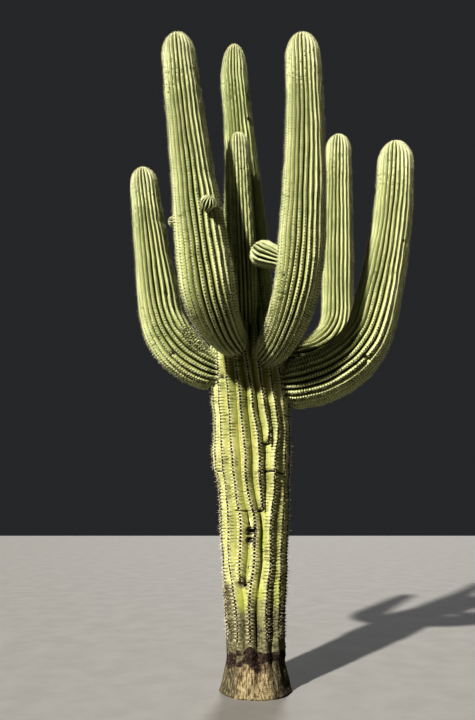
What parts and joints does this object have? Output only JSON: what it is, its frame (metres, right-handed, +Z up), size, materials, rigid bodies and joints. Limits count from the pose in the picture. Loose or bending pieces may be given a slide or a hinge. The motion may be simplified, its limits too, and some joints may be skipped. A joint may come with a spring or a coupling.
{
  "type": "saguaro cactus",
  "caption": "Mature columnar cactus with one ribbed trunk that runs up into its leading stem, upturned ribbed arms in a crowded whorl, a stub arm and small buds.",
  "frame": {"origin": "centre of the trunk's flat cut at ground level", "axes": "+Z up along the trunk, -Y towards the viewer of the plant's front, +X to the viewer's right"},
  "size_m": [2.7771, 2.0374, 6.18],
  "materials": {
    "trunk_skin": "waxy green ribbed skin, corky and brown at the foot",
    "arm_skin": "waxy yellow-green ribbed skin",
    "bud_skin": "waxy young green ribbed skin",
    "areole_felt": "short brown felt of the spine cushions",
    "spines": "dry pale spines, grey on the old trunk and cream on the arms"
  },
  "bodies": {
    "root": {"trunk": "trunk_skin", "left_low_arm_elbow": "arm_skin", "left_low_arm": "arm_skin", "left_tall_arm_elbow": "arm_skin", "left_tall_arm": "arm_skin", "right_tall_arm_elbow": "arm_skin", "right_tall_arm": "arm_skin", "right_low_arm_elbow": "arm_skin", "right_low_arm": "arm_skin", "right_back_arm_elbow": "arm_skin", "right_back_arm": "arm_skin", "front_short_arm_elbow": "arm_skin", "front_short_arm": "arm_skin", "stub_arm": "bud_skin", "front_bud": "bud_skin", "side_bud": "bud_skin"}
  },
  "joints": []
}
